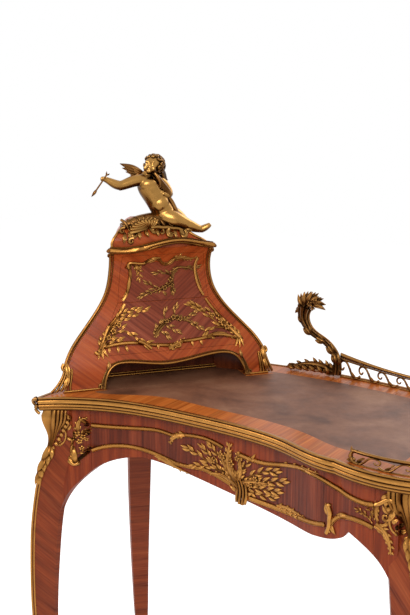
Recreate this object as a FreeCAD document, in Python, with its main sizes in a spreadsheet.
"""Lady's writing desk in the rococo manner: a waisted corner cabinet on a concave-fronted table.

Millimetres.  +X runs to the sitter's right, +Y to the back, +Z up.  The origin is on the floor
under the middle of the desk.  The cabinet and what stands on it are drawn in a frame of their own:
x along the cabinet's front, y into its depth and z from the table top.
"""
import FreeCAD, Part
import math
import os

import Sketcher

from FreeCAD import Placement, Rotation, Vector

doc = FreeCAD.newDocument("writing_desk")
sheet = doc.addObject("Spreadsheet::Sheet", "sizes")

# Driving dimensions
DRIVING = {
    "top_height": 780.0,
    "core_thickness": 20.0,
    "banding_thickness": 2.0,
    "banding_width": 54.0,
    "front_corner_x": 424.0,
    "front_corner_y": -243.0,
    "rear_corner_x": 452.0,
    "rear_corner_y": 170.0,
    "end_waist": 8.0,
    "back_peak_y": 263.5,
    "moulding_reach": 10.0,
    "moulding_height": 30.0,
    "apron_inset": 14.0,
    "apron_thickness": 20.0,
    "apron_rest_gap": 2.0,
    "front_leg_x": 433.0,
    "front_leg_y": -249.0,
    "rear_leg_x": 455.0,
    "rear_leg_y": 139.0,
    "front_left_leg_turn": 242.0,
    "front_right_leg_turn": 318.0,
    "rear_leg_turn": 45.0,
    "sabot_height": 62.0,
    "drawer_half_width": 344.0,
    "drawer_seam": 0.6,
    "drawer_box_half_width": 296.0,
    "drawer_box_height": 76.0,
    "drawer_box_back_y": 150.0,
    "drawer_lining": 9.0,
    "runner_width": 16.0,
    "runner_depth": 300.0,
    "cabinet_x": -260.0,
    "cabinet_y": 3.0,
    "cabinet_turn": 52.6,
    "cabinet_base_half": 243.0,
    "cabinet_waist_half": 118.0,
    "cabinet_height": 300.0,
    "cabinet_setback": 62.0,
    "cabinet_back_half": 60.0,
    "cabinet_back_y": 170.0,
    "cabinet_front_thickness": 12.0,
    "cabinet_wall": 10.0,
    "niche_height": 60.0,
    "niche_depth": 84.0,
    "drawer_split_z": 178.0,
    "small_drawer_half_width": 54.0,
    "small_drawer_depth": 72.0,
    "small_lining": 6.0,
    "mount_relief": 4.0,
    "gallery_height": 32.0,
    "gallery_rise": 20.0,
    "gallery_inset": 12.0,
    "gallery_step": 46.0,
    "gallery_bar": 2.4,
}
for row, (alias, value) in enumerate(DRIVING.items(), start=1):
    sheet.set(f"A{row}", alias)
    sheet.set(f"B{row}", str(value))
    sheet.setAlias(f"B{row}", alias)
doc.recompute()

pieces = []


def size(alias):
    """Value of a cell of the sheet."""
    return float(sheet.get(alias))


def add_shape(label, shape, placement=None):
    """Node from a finished shape."""
    feature = doc.addObject("Part::Feature", label)
    feature.Label = label
    feature.Shape = shape
    if placement:
        feature.Placement = placement
    pieces.append(feature)
    return feature


def add_board(label, width, depth, height, corner, placement=None):
    """Rectangular board as a padded sketch; its three sizes are expressions on the sheet."""
    body = doc.addObject("PartDesign::Body", label)
    body.Label = label
    sketch = body.newObject("Sketcher::SketchObject", label + "_outline")
    plane = next(f for f in body.Origin.OriginFeatures if f.Role == "XY_Plane")
    sketch.AttachmentSupport = (plane, "")
    sketch.MapMode = "FlatFace"
    add_rectangle(sketch, width, depth)
    pad = body.newObject("PartDesign::Pad", label + "_pad")
    pad.Profile = sketch
    pad.setExpression("Length", height)
    body.Placement = (placement or Placement()).multiply(Placement(Vector(*corner), Rotation()))
    pieces.append(body)
    return body


def add_rectangle(sketch, width, depth):
    """Fully constrained rectangle from the sketch's origin."""
    corners = [Vector(0, 0, 0), Vector(10, 0, 0), Vector(10, 10, 0), Vector(0, 10, 0)]
    lines = [Part.LineSegment(corners[i], corners[(i + 1) % 4]) for i in range(4)]
    sketch.addGeometry(lines, False)
    constraint = Sketcher.Constraint
    for i in range(4):
        sketch.addConstraint(constraint("Coincident", i, 2, (i + 1) % 4, 1))
        sketch.addConstraint(constraint("Horizontal" if i % 2 == 0 else "Vertical", i))
    sketch.addConstraint(constraint("Coincident", 0, 1, -1, 1))
    wide = sketch.addConstraint(constraint("DistanceX", 0, 1, 0, 2, 10))
    deep = sketch.addConstraint(constraint("DistanceY", 1, 1, 1, 2, 10))
    sketch.setExpression(f"Constraints[{wide}]", width)
    sketch.setExpression(f"Constraints[{deep}]", depth)


def spline(points):
    """Smooth edge through a few points."""
    curve = Part.BSplineCurve()
    curve.interpolate([Vector(*p) for p in points])
    return curve.toShape()


def arc(start, middle, end):
    return Part.Arc(Vector(*start), Vector(*middle), Vector(*end)).toShape()


def polygon(points):
    """Closed wire of straight edges."""
    vectors = [Vector(*p) for p in points]
    return Part.makePolygon(vectors + vectors[:1])


def prism(wire, direction):
    return Part.Face(wire).extrude(Vector(*direction))


def loft(wires, ruled=False):
    return Part.makeLoft(wires, True, ruled)


def box(x0, y0, z0, x1, y1, z1):
    return Part.makeBox(x1 - x0, y1 - y0, z1 - z0, Vector(x0, y0, z0))


def rod(points, radii, sides=8):
    """Faceted bar along a line of points; one radius per point."""
    path = [Vector(*p) for p in points]
    rings = []
    side = None
    for i, centre in enumerate(path):
        ahead = path[min(i + 1, len(path) - 1)] - path[max(i - 1, 0)]
        ahead.normalize()
        if side is None:
            side = ahead.cross(Vector(0, 0, 1) if abs(ahead.z) < 0.9 else Vector(0, 1, 0))
        side = side - ahead * side.dot(ahead)
        side.normalize()
        other = ahead.cross(side)
        ring = []
        for k in range(sides):
            angle = 2 * math.pi * k / sides
            ring.append(centre + (side * math.cos(angle) + other * math.sin(angle)) * radii[i])
        rings.append(polygon(ring))
    return loft(rings, True)


def curve_points(points, count):
    """Points at even parameter steps on the smooth curve through a few points."""
    edge = spline(points)
    first, last = edge.ParameterRange
    steps = [first + (last - first) * i / (count - 1) for i in range(count)]
    return [tuple(edge.valueAt(step)) for step in steps]


def ribbon(points, width, to_point):
    """Flat strip of a constant width along a smooth curve drawn in two coordinates."""
    edge = spline([(a, b, 0) for a, b in points])
    first, last = edge.ParameterRange
    count = 4 * len(points)
    near = []
    far = []
    for i in range(count + 1):
        step = first + (last - first) * i / count
        here = edge.valueAt(step)
        along = edge.tangentAt(step)
        across = Vector(-along.y, along.x, 0) * (width / 2)
        near.append(to_point(here + across))
        far.append(to_point(here - across))
    return Part.Wire([
        spline(near),
        Part.LineSegment(Vector(*near[-1]), Vector(*far[-1])).toShape(),
        spline(far[::-1]),
        Part.LineSegment(Vector(*far[0]), Vector(*near[0])).toShape(),
    ])


# Outline of the table top
FL = (-size("front_corner_x"), size("front_corner_y"))
FR = (size("front_corner_x"), size("front_corner_y"))
RR = (size("rear_corner_x"), size("rear_corner_y"))
RL = (-size("rear_corner_x"), size("rear_corner_y"))
NOTCH = (266.0, -231.0)
KNEE_CURVE = [
    (-339.0, -188.0),
    (-240.0, -160.0),
    (-110.0, -154.0),
    (30.0, -163.0),
    (146.0, -191.0),
    (222.0, -224.0),
]
LOBE_CROWN = (345.0, -251.0)
END_WAIST_X = (size("front_corner_x") + size("rear_corner_x")) / 2 - size("end_waist")
END_WAIST_Y = (size("front_corner_y") + size("rear_corner_y")) / 2
SEGMENTS = [
    [FL] + KNEE_CURVE + [NOTCH],
    [NOTCH, LOBE_CROWN, FR],
    [FR, (END_WAIST_X, END_WAIST_Y), RR],
    [RR, (0.0, size("back_peak_y")), RL],
    [RL, (-END_WAIST_X, END_WAIST_Y), FL],
]


def flat_edge(points):
    lifted = [(x, y, 0.0) for x, y in points]
    return arc(*lifted) if len(lifted) == 3 else spline(lifted)


def outward(edge, point):
    """Outward normal of an edge of the outline, which runs anticlockwise."""
    along = edge.tangentAt(edge.Curve.parameter(Vector(*point, 0)))
    return Vector(along.y, -along.x, 0)


def grown_segments(grow):
    """The outline's segments moved outwards by a distance, with mitred corners."""
    edges = [flat_edge(points) for points in SEGMENTS]
    moved = []
    for i, points in enumerate(SEGMENTS):
        shifted = []
        for j, point in enumerate(points):
            normal = outward(edges[i], point)
            if j == 0:
                normal = mitre(outward(edges[i - 1], point), normal)
            if j == len(points) - 1:
                normal = mitre(normal, outward(edges[(i + 1) % len(edges)], point))
            shifted.append((point[0] + grow * normal.x, point[1] + grow * normal.y))
        moved.append(shifted)
    return moved


def mitre(first, second):
    return (first + second) * (1.0 / (1.0 + first.dot(second)))


def outline_face(grow):
    return Part.Face(Part.Wire([flat_edge(points) for points in grown_segments(grow)]))


def outline_prism(grow, z0, z1):
    face = outline_face(grow)
    face.translate(Vector(0, 0, z0))
    return face.extrude(Vector(0, 0, z1 - z0))


# Table top
TOP = size("top_height")
BANDING_Z = TOP - size("banding_thickness")
CORE_Z = BANDING_Z - size("core_thickness")
MOULDING_Z = TOP + 2.0 - size("moulding_height")
CABINET = Placement(
    Vector(size("cabinet_x"), size("cabinet_y"), TOP),
    Rotation(Vector(0, 0, 1), size("cabinet_turn")),
)


def make_top():
    """Core board, veneer border that also carries the cabinet, leather inside it and the reeded metal edge."""
    inner = -size("banding_width")
    core = outline_prism(0, CORE_Z, BANDING_Z)
    leather = largest(outline_prism(inner, BANDING_Z, TOP).cut(cabinet_foot()))
    banding = outline_prism(0, BANDING_Z, TOP).cut(leather)
    add_shape("top_core", core)
    add_shape("top_crossbanding", banding)
    add_shape("leather_panel", leather)
    reach = size("moulding_reach")
    reeds = [(0.45, 0.0, 0.2), (0.8, 0.2, 0.4), (1.0, 0.4, 0.75), (0.7, 0.75, 1.0)]
    layers = []
    for share, low, high in reeds:
        z0 = MOULDING_Z + low * size("moulding_height")
        z1 = MOULDING_Z + high * size("moulding_height")
        layers.append(outline_prism(share * reach, z0, z1))
    ring = layers[0].fuse(layers[1:]).cut(outline_prism(0, MOULDING_Z - 1, TOP + 3)).removeSplitter()
    add_shape("top_edge_moulding", largest(ring.cut(sharp_tip())))


def sharp_tip():
    """Room past the front left corner, where the moulding is cut blunt."""
    ahead = outward(flat_edge(SEGMENTS[-1]), FL) + outward(flat_edge(SEGMENTS[0]), FL)
    tip = Part.makeBox(200, 100, 60, Vector(-100, 0.8 * size("moulding_reach"), 0))
    tip.Placement = Placement(Vector(*FL, MOULDING_Z - 5), Rotation(Vector(0, 1, 0), ahead))
    return tip


def cabinet_foot():
    """Room that the cabinet's foot and its mouldings take up on the top."""
    half = size("cabinet_base_half") + 12.0
    rear = size("cabinet_back_half") + 12.0
    back = size("cabinet_back_y") + 12.0
    plan = polygon([(-half, -12, -9), (half, -12, -9), (rear, back, -9), (-rear, back, -9)])
    foot = prism(plan, (0, 0, 18))
    foot.Placement = CABINET
    return foot


# Legs: rows of height, reach of the arris past the corner, width across and depth along the diagonal
LEG_ROWS = [
    (4.0, 8.0, 40.0, 48.0),
    (30.0, 2.0, 35.0, 43.0),
    (60.0, -3.0, 32.0, 40.0),
    (110.0, 2.0, 36.0, 43.0),
    (180.0, 13.0, 41.0, 50.0),
    (273.0, 22.0, 47.0, 58.0),
    (358.0, 23.0, 52.0, 63.0),
    (430.0, 21.0, 56.0, 67.0),
    (501.0, 16.0, 59.0, 70.0),
    (560.0, 7.0, 61.0, 71.0),
    (618.0, -7.0, 61.0, 68.0),
    (655.0, -24.0, 56.0, 62.0),
    (695.0, -33.0, 53.0, 58.0),
    (CORE_Z, -36.0, 47.0, 54.0),
]
KNEE_ROW = 10
ANKLE_ROW = 2
LEG_CORNERS = {
    "front_left": (-size("front_leg_x"), size("front_leg_y"), size("front_left_leg_turn")),
    "front_right": (size("front_leg_x"), size("front_leg_y"), size("front_right_leg_turn")),
    "rear_left": (-size("rear_leg_x"), size("rear_leg_y"), 180.0 - size("rear_leg_turn")),
    "rear_right": (size("rear_leg_x"), size("rear_leg_y"), size("rear_leg_turn")),
}


def leg_frame(corner):
    """Unit vectors of a leg in plan: outwards through its arris, and across it."""
    turn = math.radians(corner[2])
    out = Vector(math.cos(turn), math.sin(turn), 0)
    return out, Vector(-out.y, out.x, 0)


def leg_section(corner, row, spread=0.0):
    """Five-sided section: sharp arris outside, two shoulders and a flat inner face."""
    z, reach, width, depth = row
    out, across = leg_frame(corner)
    tip = Vector(corner[0], corner[1], z) + out * (reach + spread)
    half = width / 2 + spread
    shoulder = tip - out * (0.70 * depth + spread)
    inner = tip - out * (0.86 * depth + 2 * spread)
    flat = 0.9 * half
    sides = [tip, shoulder + across * half, inner + across * flat]
    return polygon(sides + [inner - across * flat, shoulder - across * half])


def make_legs():
    """Four cabriole legs."""
    legs = {}
    for name, corner in LEG_CORNERS.items():
        legs[name] = loft([leg_section(corner, row) for row in LEG_ROWS])
        add_shape("leg_" + name, legs[name])
    return legs


def make_leg_mounts(legs, rails):
    """Sabot with the gilt fillet that runs up the arris, and the leaf that covers the corner."""
    for name, corner in LEG_CORNERS.items():
        fillet = arris_strip(corner, LEG_ROWS[ANKLE_ROW:KNEE_ROW + 1], 3.0, 7.0)
        add_shape("leg_fillet_" + name, largest(make_sabot(corner).fuse(fillet).cut(legs[name])))
        rows = LEG_ROWS[KNEE_ROW:-1] + [(MOULDING_Z - 1.0,) + LEG_ROWS[-1][1:]]
        leaf = arris_strip(corner, rows, 9.0, 25.0)
        add_shape("leg_chute_" + name, largest(leaf.cut([legs[name]] + rails)))


def make_sabot(corner):
    """Cast shoe round the foot."""
    foot, instep, ankle = LEG_ROWS[:ANKLE_ROW + 1]
    rows = [(0.0,) + foot[1:], instep, (size("sabot_height"),) + ankle[1:]]
    return loft([leg_section(corner, row, spread) for row, spread in zip(rows, (6.0, 5.0, 3.0))])


def arris_strip(corner, rows, proud, half_width):
    """Metal strip over the arris of a leg."""
    out, across = leg_frame(corner)
    sections = []
    for z, reach, width, depth in rows:
        tip = Vector(corner[0], corner[1], z) + out * reach
        wing = tip - out * (half_width * 1.4 * depth / width - proud)
        side = across * half_width
        sections.append(polygon([tip + out * proud, wing + side, wing - side]))
    return loft(sections)


# Frieze: the band under the top, cut into spandrels, rails and the drawer front
APRON_OUT = -size("apron_inset")
APRON_IN = APRON_OUT - size("apron_thickness")
APRON_TOP = MOULDING_Z - size("apron_rest_gap")
APRON_LOW = 480.0
LEFT_ARCH = [
    (-392.0, 490.0),
    (-388.0, 530.0),
    (-375.0, 568.0),
    (-335.0, 617.0),
    (-290.0, 641.0),
    (-224.0, 655.0),
]
LONG_SWEEP = [
    (-224.0, 655.0),
    (-172.0, 650.0),
    (-72.0, 634.0),
    (35.0, 618.0),
    (142.0, 609.0),
    (208.0, 611.0),
]
RIGHT_LOBE = [(208.0, 611.0), (249.0, 618.0), (274.0, 628.0), (290.0, 646.0)]
RIGHT_ARCH = [(290.0, 646.0), (320.0, 634.0), (353.0, 612.0), (380.0, 572.0), (396.0, 512.0)]
BACK_EDGE = [(-425.0, 566.0), (-392.0, 602.0), (-330.0, 638.0), (-200.0, 650.0), (0.0, 632.0)]
END_EDGE = [
    (-168.0, 612.0),
    (-150.0, 630.0),
    (-106.0, 648.0),
    (-40.0, 655.0),
    (30.0, 645.0),
    (76.0, 602.0),
    (94.0, 556.0),
]
SPANDREL_X = 389.0
SPANDREL_SPRAYS = {
    "left": ([(-378, 696), (-366, 734), (-352, 726), (-347, 698), (-347, 666), (-356, 632), (-371, 642)], (3.0, -5.2)),
    "right": ([(347, 702), (356, 724), (371, 738), (383, 720), (379, 690), (381, 648), (374, 632), (350, 676)], (0.3, -6.0)),
}
END_ROOM_X = 374.0
BACK_ROOM_Y = 60.0
FRONT_PLANE = -320.0
FRONT_REACH = 240.0


def band(z0, z1, out, inside):
    return outline_prism(out, z0, z1).cut(outline_prism(inside, z0 - 1, z1 + 1))


def on_front(point):
    """Point of the front's elevation, on a plane ahead of the desk."""
    return (point[0], FRONT_PLANE, point[1])


def front_zone(x0, x1, gap):
    """Room of the front between two seams, down to the curved lower edge."""
    lines = (LEFT_ARCH, LONG_SWEEP, RIGHT_LOBE, RIGHT_ARCH)
    edges = [spline([on_front(point) for point in line]) for line in lines]
    left = LEFT_ARCH[0]
    right = RIGHT_ARCH[-1]
    rest = [right, (right[0], TOP), (left[0], TOP), left]
    edges.append(Part.makePolygon([Vector(*on_front(point)) for point in rest]))
    room = prism(Part.Wire(edges), (0, FRONT_REACH, 0))
    return room.common(box(x0 + gap, FRONT_PLANE, APRON_LOW, x1 - gap, 0, TOP))


def arched_room(low, depth):
    """Room over an arched lower edge, up to the top."""
    start = (low[0][0], low[0][1], TOP)
    end = (low[-1][0], low[-1][1], TOP)
    rest = Part.makePolygon([Vector(*p) for p in (low[-1], end, start, low[0])])
    return prism(Part.Wire([spline(low), rest]), depth)


def end_zone(side):
    return arched_room([(side * END_ROOM_X, y, z) for y, z in END_EDGE], (side * 200.0, 0, 0))


def back_zone():
    line = BACK_EDGE + [(-x, z) for x, z in BACK_EDGE[-2::-1]]
    return arched_room([(x, BACK_ROOM_Y, z) for x, z in line], (0, 240.0, 0))


def make_frieze(legs):
    """Fixed rails of the frieze under the top, and the sprays on the front spandrels."""
    rails = []
    all_legs = list(legs.values())
    ring = band(APRON_LOW, CORE_Z, APRON_OUT, APRON_IN)
    half = size("drawer_half_width")
    blanks = {
        "left": knee_blank().common(front_zone(LEFT_ARCH[0][0], -half, 0.0)),
        "right": ring.common(front_zone(half, SPANDREL_X, 0.0)),
    }
    for name, blank in blanks.items():
        rails.append(add_shape("spandrel_front_" + name, largest(blank.cut(all_legs))).Shape)
    spandrels = dict(zip(blanks, rails))
    for name, side in (("right", 1.0), ("left", -1.0)):
        rail = largest(ring.common(end_zone(side)).cut(all_legs + rails))
        rails.append(add_shape("apron_" + name, rail).Shape)
    rail = largest(ring.common(back_zone()).cut(all_legs + rails))
    rails.append(add_shape("apron_back", rail).Shape)
    for name, (line, ahead) in SPANDREL_SPRAYS.items():
        skin = spandrels[name].copy()
        skin.translate(Vector(*ahead, 0))
        spray = largest(skin.common(plate_room(line)).cut(all_legs + rails))
        rails.append(add_shape("spandrel_spray_" + name, spray).Shape)
    return rails


def knee_blank():
    """Block between the front left leg and the drawer's seam; its front is flush with both."""
    corner = LEG_CORNERS["front_left"]
    out, across = leg_frame(corner)
    seam_x = -size("drawer_half_width")
    seam = Part.makeLine(Vector(seam_x, -400, 0), Vector(seam_x, 0, 0))
    outer = flat_edge(grown_segments(APRON_OUT)[0])
    front = outer.distToShape(seam)[1][0][0]
    back = flat_edge(grown_segments(APRON_IN)[0]).distToShape(seam)[1][0][0]
    along = outer.tangentAt(outer.Curve.parameter(front))
    sections = []
    for z, reach, width, depth in LEG_ROWS[KNEE_ROW - 3:]:
        tip = Vector(corner[0], corner[1], z) + out * reach
        shoulder = tip - out * (0.70 * depth) + across * (width / 2)
        inner = tip - out * (0.86 * depth) + across * (0.45 * width - 3.0)
        lift = Vector(0, 0, z)
        start = shoulder - tip
        start.normalize()
        face = Part.BSplineCurve()
        face.interpolate([shoulder, front + lift], InitialTangent=start * 40, FinalTangent=along * 40)
        rest = Part.makePolygon([front + lift, back + lift, inner, shoulder])
        sections.append(Part.Wire([face.toShape()] + rest.Edges))
    return loft(sections)


def largest(shape):
    """The main solid of a boolean result."""
    return max(shape.Solids, key=lambda solid: solid.Volume)


# Frieze drawer
FRAME_WIDTH = 9.0


def make_frieze_drawer():
    """Bow-fronted drawer across the kneehole with its runners under the top."""
    seam = size("drawer_seam")
    half = size("drawer_half_width")
    zone = front_zone(-half, half, seam)
    front = largest(band(APRON_LOW, APRON_TOP, APRON_OUT, APRON_IN).common(zone))
    add_shape("frieze_drawer_front", front)
    lining = size("drawer_lining")
    inside = size("drawer_box_half_width")
    low = APRON_TOP - 6.0 - size("drawer_box_height")
    back_y = size("drawer_box_back_y")
    room = outline_prism(APRON_IN, low - 1, APRON_TOP)
    for name, x0 in (("left", -inside), ("right", inside - lining)):
        side = box(x0, -260, low, x0 + lining, back_y, low + size("drawer_box_height"))
        add_shape("frieze_drawer_side_" + name, side.common(room))
    bottom = box(-inside + lining, -260, low + 6, inside - lining, back_y - lining, low + 12).common(room)
    add_shape("frieze_drawer_bottom", bottom)
    add_board(
        "frieze_drawer_back",
        "2 * (sizes.drawer_box_half_width - sizes.drawer_lining)",
        "sizes.drawer_lining",
        "sizes.drawer_box_height",
        (-inside + lining, back_y - lining, low),
    )
    for name, side in (("left", -1.0), ("right", 1.0)):
        add_runner("drawer_runner_" + name, side * (inside + 2.0), side, low - 0.5)
    make_frieze_mounts()


def add_runner(label, x, side, ledge_top):
    """Hanger beside the drawer, screwed under the top, with a ledge that carries the drawer side."""
    front_y = size("drawer_box_back_y") + 20.0 - size("runner_depth")
    hanger = doc.addObject("Part::Box", label + "_hanger")
    hanger.setExpression("Length", "sizes.runner_width / 2")
    hanger.setExpression("Width", "sizes.runner_depth")
    hanger.Height = CORE_Z - ledge_top
    hanger.Placement.Base = Vector(x if side > 0 else x - size("runner_width") / 2, front_y, ledge_top)
    ledge = doc.addObject("Part::Box", label + "_ledge")
    ledge.setExpression("Length", "sizes.runner_width")
    ledge.setExpression("Width", "sizes.runner_depth")
    ledge.setExpression("Height", "sizes.runner_width / 2")
    ledge_x = x - size("runner_width") / 2
    ledge.Placement.Base = Vector(ledge_x, front_y, ledge_top - size("runner_width") / 2)
    joined = doc.addObject("Part::Fuse", label)
    joined.Label = label
    joined.Base = hanger
    joined.Tool = ledge
    pieces.append(joined)


def make_frieze_mounts():
    """Gilt frame lines and the flower spray in the middle of the drawer front."""
    relief = size("mount_relief")
    half = size("drawer_half_width")
    skin = band(APRON_LOW, APRON_TOP, APRON_OUT + relief, APRON_OUT)
    strips = [
        [(-341, 715), (-281, 715), (-188, 724), (-150, 719), (-84, 728), (-34, 719)],
        [(-341, 659), (-287, 675), (-207, 672), (-135, 656), (-84, 662), (-36, 654)],
        [(24, 711), (57, 706), (97, 712), (175, 732), (248, 726), (280, 714), (341, 714)],
        [(44, 627), (124, 627), (204, 634), (242, 644)],
        [(252, 650), (272, 672), (306, 677), (341, 673)],
    ]
    room = front_zone(-half, half, 2 * size("drawer_seam"))
    rooms = [prism(ribbon(line, FRAME_WIDTH, on_front), (0, FRONT_REACH, 0)) for line in strips]
    frames = [skin.common(strip).common(room) for strip in rooms]
    lines = [solid for frame in frames for solid in frame.Solids]
    add_shape("frieze_frame_lines", Part.makeCompound(lines))
    spray = [
        (-104, 694), (-60, 704), (-20, 728), (8, 714), (60, 694), (116, 690), (110, 668),
        (60, 650), (38, 634), (26, 622), (12, 624), (2, 648), (-40, 660), (-86, 668),
    ]
    skin = band(APRON_LOW, APRON_TOP, APRON_OUT + 2.0 * relief, APRON_OUT)
    add_shape("frieze_centre_spray", largest(skin.common(plate_room(spray)).common(room).cut(frames)))


def plate_room(points):
    """Room through the front inside a rounded outline."""
    closed = Part.BSplineCurve()
    closed.interpolate([Vector(*on_front(point)) for point in points], True)
    return prism(Part.Wire([closed.toShape()]), (0, FRONT_REACH, 0))


# Corner cabinet, in its own frame
WAIST = size("cabinet_waist_half")
BASE = size("cabinet_base_half")
BACK = size("cabinet_setback")
HIGH = size("cabinet_height")
CABINET_ROWS = [
    (0.0, BASE, 0.0),
    (26.0, BASE - 7.0, 4.0),
    (54.0, BASE - 8.0, 11.0),
    (84.0, BASE - 24.0, 25.0),
    (110.0, BASE - 46.0, 38.0),
    (155.0, BASE - 87.0, BACK - 7.0),
    (200.0, WAIST + 9.0, BACK),
    (240.0, WAIST, BACK + 1.0),
    (275.0, WAIST - 2.0, BACK - 6.0),
    (HIGH, WAIST + 2.0, BACK - 20.0),
]
ROOF_ROWS = [
    (HIGH, WAIST - 4.0, BACK - 14.0, 0.0),
    (HIGH + 12.0, WAIST - 11.0, BACK - 13.0, -8.0),
    (HIGH + 22.0, WAIST - 23.0, BACK - 12.0, -16.0),
    (HIGH + 33.0, WAIST - 36.0, BACK - 6.0, -19.0),
    (HIGH + 44.0, WAIST - 52.0, BACK + 6.0, -21.0),
    (HIGH + 52.0, WAIST - 71.0, BACK + 18.0, -24.0),
    (HIGH + 58.0, WAIST - 95.0, BACK + 34.0, -28.0),
]
BOW = 6.0


def cabinet_section(row, wall=0.0, lean=0.0):
    """Plan of the cabinet at one height: bowed front, two raked sides and a narrow back."""
    z, half, front = row
    back_half = min(size("cabinet_back_half"), 0.6 * half)
    back = size("cabinet_back_y") - 0.25 * max(0.0, z - HIGH)
    left = (lean - half + wall, front, z)
    right = (lean + half - wall, front, z)
    bow = arc(left, (lean, front - BOW, z), right)
    rest = Part.makePolygon([
        Vector(*right),
        Vector(lean + back_half - 0.5 * wall, back - wall, z),
        Vector(lean - back_half + 0.5 * wall, back - wall, z),
        Vector(*left),
    ])
    return Part.Wire([bow] + rest.Edges)


def roof_block():
    """Domed roof whose crest leans to the left and falls to the right."""
    return loft([cabinet_section(row[:3], 0.0, row[3]) for row in ROOF_ROWS])


ARCH_LEFT = [(-150, -6), (-146, 24), (-136, 45), (-113, 55), (-67, 50)]
ARCH_RIGHT = [(-18, 42), (30, 44), (78, 52), (122, 57), (150, 54), (170, 42), (180, 21), (186, -6)]
ARCH = ARCH_LEFT + ARCH_RIGHT
SPLIT = size("drawer_split_z")
UPPER_FRONT = [(-90, 284), (100, 284), (114, SPLIT), (-101, SPLIT)]
LOWER_FRONT = [(-101, SPLIT), (114, SPLIT), (192, 70), (-159, 70)]
CABINET_PLANE = -60.0
CABINET_REACH = 200.0


def on_cabinet(point):
    """Point of the cabinet's elevation, on a plane ahead of it."""
    return (point[0], CABINET_PLANE, point[1])


def front_prism(points):
    """Straight-sided room through the cabinet's front."""
    return prism(polygon([on_cabinet(point) for point in points]), (0, CABINET_REACH, 0))


def make_cabinet():
    """Carcass boards, the roof and the niche under the two drawers."""
    thick = size("cabinet_front_thickness")
    outer = loft([cabinet_section(row) for row in CABINET_ROWS])
    hollow = loft([cabinet_section(row, size("cabinet_wall")) for row in CABINET_ROWS])
    behind = outer.copy()
    behind.translate(Vector(0, thick, 0))
    slab = outer.cut(behind)
    opening = front_prism(UPPER_FRONT).fuse(front_prism(LOWER_FRONT))
    sill = Part.LineSegment(Vector(*on_cabinet(ARCH[-1])), Vector(*on_cabinet(ARCH[0]))).toShape()
    arch = Part.Wire([spline([on_cabinet(point) for point in ARCH]), sill])
    archway = prism(arch, (0, CABINET_REACH, 0))
    add_shape("cabinet_front", largest(slab.cut([opening, archway])), CABINET)
    walls = outer.common(behind).cut(hollow)
    halves = (("left", box(-400, -50, -1, 0, 400, 500)), ("right", box(0, -50, -1, 400, 400, 500)))
    for name, room in halves:
        add_shape("cabinet_side_" + name, largest(walls.common(room)), CABINET)
    inside = hollow.common(behind)
    niche = size("niche_height")
    depth = size("niche_depth")
    boards = {
        "niche_ceiling": box(-300, -50, niche, 300, 400, niche + 6),
        "cabinet_dust_board": box(-300, BACK + thick + 1.5, SPLIT - 3, 300, 400, SPLIT + 3),
        "niche_back": box(-300, depth, 0, 300, depth + 8, niche),
    }
    for name, room in boards.items():
        add_shape(name, largest(inside.common(room)), CABINET)
    add_shape("cabinet_roof", roof_block(), CABINET)
    make_small_drawer("upper", UPPER_FRONT, slab, SPLIT + 6, HIGH - 24)
    make_small_drawer("lower", LOWER_FRONT, slab, niche + 16, SPLIT - 34)
    make_cabinet_mounts(outer)


def shrunk(points, gap):
    """The outline of a drawer front with a seam round it."""
    middle_x = sum(p[0] for p in points) / len(points)
    middle_z = sum(p[1] for p in points) / len(points)
    moved = []
    for x, z in points:
        moved.append((x - math.copysign(gap, x - middle_x), z - math.copysign(gap, z - middle_z)))
    return moved


def make_small_drawer(name, outline, slab, low, high):
    """Curved drawer front with a small lined box behind it."""
    front = largest(slab.common(front_prism(shrunk(outline, size("drawer_seam")))))
    add_shape(name + "_drawer_front", front, CABINET)
    half = size("small_drawer_half_width")
    lining = size("small_lining")
    back = BACK + size("cabinet_front_thickness") + size("small_drawer_depth")
    block = box(-half, 30, low, half, back, high)
    well = box(-half + lining, 20, low + lining, half - lining, back - lining, high + 1)
    room = loft([cabinet_section(row) for row in CABINET_ROWS])
    room.translate(Vector(0, size("cabinet_front_thickness"), 0))
    add_shape(name + "_drawer_box", largest(block.common(room).cut(well)), CABINET)


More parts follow.
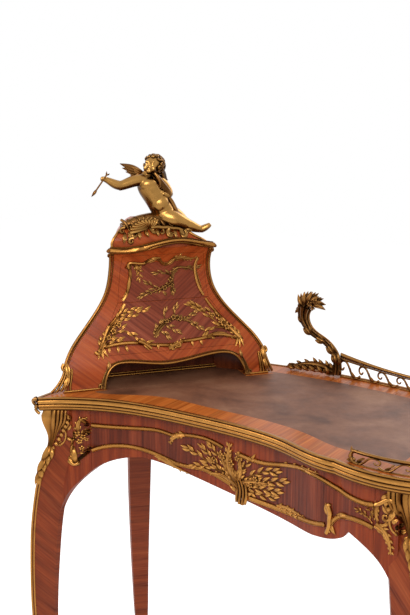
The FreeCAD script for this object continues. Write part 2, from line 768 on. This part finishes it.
def make_cabinet_mounts(outer):
    """Cornice, edge mouldings, the niche's edge and the frames and sprays on the drawers."""
    relief = size("mount_relief")
    ahead = outer.copy()
    ahead.translate(Vector(0, -relief, 0))
    skin = ahead.cut(outer)
    trim = [(x, max(z, 3) + 2) for x, z in ARCH]
    upper = [
        (-96, 184), (-88, 218), (-84, 270), (-36, 272), (-4, 278),
        (26, 264), (54, 278), (92, 274), (92, 226), (106, 184),
    ]
    lower = [
        (-99, 172), (-119, 140), (-142, 101), (-149, 77), (-112, 83), (-36, 79),
        (50, 78), (122, 84), (180, 77), (149, 122), (110, 172),
    ]
    upper_spray = [(-36, 219), (-12, 200), (6, 212), (14, 240), (46, 254)]
    lower_spray = [(-11, 100), (2, 132), (34, 152), (62, 138), (84, 112)]
    strips = {
        "niche_arch_trim": (trim, 6.0),
        "upper_drawer_frame": (upper, 7.0),
        "lower_drawer_frame": (lower, 7.0),
        "upper_drawer_spray": (upper_spray, 14.0),
        "lower_drawer_spray": (lower_spray, 14.0),
    }
    for name, (line, width) in strips.items():
        room = prism(ribbon(line, width, on_cabinet), (0, CABINET_REACH, 0))
        add_shape(name, largest(skin.common(room)), CABINET)
    rows = CABINET_ROWS[:-1]
    for name, sign, flare in (("left", -1, 26.0), ("right", 1, 10.0)):
        path = [(sign * (half + 1.5), front - 2.0, max(z, 6.0)) for z, half, front in rows]
        path[0] = (path[0][0] + sign * flare, path[0][1], path[0][2])
        edge = rod(path, [6.0, 6.0, 6.0] + [5.0] * (len(path) - 3)).cut(outer)
        add_shape("cabinet_edge_" + name, largest(edge), CABINET)
    half, front = CABINET_ROWS[-1][1:]
    line = [
        (-half - 3, front - 4, HIGH + 3),
        (-half * 0.6, front - 6, HIGH + 1),
        (-28, front - 10, HIGH + 8),
        (37, front - 10, HIGH + 17),
        (89, front - 8, HIGH + 8),
        (half + 3, front - 4, HIGH + 3),
    ]
    path = curve_points(line, 13)
    add_shape("cabinet_cornice", largest(rod(path, [6.0] * len(path)).cut([outer, roof_block()])), CABINET)


def above_roof(points):
    """Points given by their height over the cabinet's cornice line."""
    return [(x, y, HIGH + z) for x, y, z in points]


def make_figure():
    """Winged putto with an arrow, seated on a scrolled rockwork base."""
    roof = roof_block()
    crest = above_roof([(-88, 62, 50), (-52, 66, 62), (-10, 72, 66), (30, 72, 54), (68, 66, 24)])
    rock = largest(rod(curve_points(crest, 9), [9, 14, 18, 21, 23, 22, 19, 15, 9]).cut(roof))
    add_shape("rockwork_base", rock, CABINET)
    spine = [(34, 84, 58), (24, 84, 74), (8, 84, 100), (-14, 84, 126), (-27, 84, 142), (-19, 86, 158), (-12, 86, 168)]
    torso = rod(above_roof(spine), [16, 25, 24, 24, 20, 12, 10])
    head = Part.makeSphere(24, Vector(-6, 85, HIGH + 182))
    limbs = {
        "raised arm": [(-34, 80, 146), (-60, 75, 144), (-92, 71, 137), (-110, 69, 147), (-124, 67, 153)],
        "bent arm": [(0, 90, 144), (24, 92, 136), (38, 88, 114), (20, 72, 112)],
        "near leg": [(20, 76, 66), (40, 68, 57), (62, 64, 50), (88, 62, 37), (109, 60, 42)],
        "far leg": [(28, 96, 72), (52, 98, 66), (82, 94, 46)],
    }
    girths = {
        "raised arm": [13, 12.5, 11, 9, 5.5],
        "bent arm": [12, 12, 10, 7],
        "near leg": [20, 19, 14, 10, 6],
        "far leg": [19, 16, 10],
    }
    rods = [rod(above_roof(line), girths[name]) for name, line in limbs.items()]
    figure = largest(torso.fuse([head] + rods).cut([rock, roof]))
    add_shape("putto_figure", figure, CABINET)
    feathers = [(-30, 104, 150), (-60, 104, 163), (-76, 104, 178), (-46, 104, 176), (-26, 104, 166)]
    wing = prism(polygon(above_roof(feathers)), (0, 6, 0))
    add_shape("putto_wing", largest(wing.cut(figure)), CABINET)
    shaft = above_roof([(-112, 61, 158), (-130, 60, 140), (-147, 59, 120)])
    add_shape("putto_arrow", largest(rod(shaft, [2.5, 2.5, 2.5]).cut(figure)), CABINET)


def make_gallery():
    """Pierced rail along the back, the right end and the front lobe."""
    front, right, back = grown_segments(-size("gallery_inset"))[1:4]
    height = size("gallery_height")
    add_gallery_run("right", right, 0.04, 0.96, height, 0.0)
    add_gallery_run("front", front, 0.08, 0.95, 0.75 * height, 0.0)
    return add_gallery_run("back", back, 0.03, 0.455, height, size("gallery_rise"))


def add_gallery_run(name, points, first, last, high, rise):
    """One run of scrolled bars under a handrail; the rail may rise to its last end."""
    bar = size("gallery_bar")
    edge = flat_edge(points)
    start, end = edge.ParameterRange
    count = max(2, round(edge.Length * (last - first) / size("gallery_step")))

    def spot(share, height):
        place = edge.valueAt(start + (end - start) * (first + (last - first) * share))
        return (place.x, place.y, TOP + height * (high + rise * max(0.0, 2 * share - 1) ** 2))

    steps = 2 * count
    rail = rod([spot(i / steps, 1.0) for i in range(steps + 1)], [1.6 * bar] * (steps + 1))
    scroll = [(0.12, 0.0), (0.30, 0.30), (0.52, 0.50), (0.72, 0.70), (0.90, 1.0)]
    bars = []
    for i in range(count):
        line = [spot((i + along) / count, height) for along, height in scroll]
        bars.append(rod(line, [bar] * len(line), 6))
    run = rail.fuse(bars).cut(outline_prism(0, CORE_Z, TOP))
    return add_shape("gallery_" + name, largest(run)).Shape


def make_finial(rail):
    """Leafy cornucopia on a leaf base at the end of the gallery beside the cabinet."""
    line = size("back_peak_y") - size("gallery_inset") - 2.0
    horn = [(36, 10), (38, 34), (30, 57), (4, 82), (-29, 94), (-51, 118), (-54, 145), (-38, 167), (-12, 178), (4, 178)]
    path = [(x, line, TOP + z) for x, z in horn]
    stem = rod(curve_points(path, 17), [8, 8, 7, 7, 6, 6, 6, 6, 7, 8, 9, 11, 14, 17, 18, 14, 8])
    leaves = [(38, 0, 8), (6, 0, 18), (-30, 0, 24), (-64, -6, 18), (-92, -12, 8)]
    base = rod([(x, line + y, TOP + z) for x, y, z in leaves], [8, 12, 11, 9, 5])
    shape = stem.fuse(base).cut([outline_prism(0, CORE_Z, TOP), rail])
    add_shape("cornucopia_finial", largest(shape))


make_top()
leg_shapes = make_legs()
make_leg_mounts(leg_shapes, make_frieze(leg_shapes))
make_frieze_drawer()
make_cabinet()
make_figure()
make_finial(make_gallery())
doc.recompute()

# Every object is sound before anything is written
for item in doc.Objects:
    if "Invalid" in item.State or "Error" in item.State:
        raise RuntimeError(f"{item.Label} failed: {item.State}")
os.makedirs("parts", exist_ok=True)
for piece in pieces:
    shape = piece.Shape
    if shape.isNull() or not shape.isValid():
        raise RuntimeError(f"{piece.Label} has no valid shape")
for piece in pieces:
    piece.Shape.exportStep(f"parts/{piece.Label}.step")
print(len(pieces), "nodes")
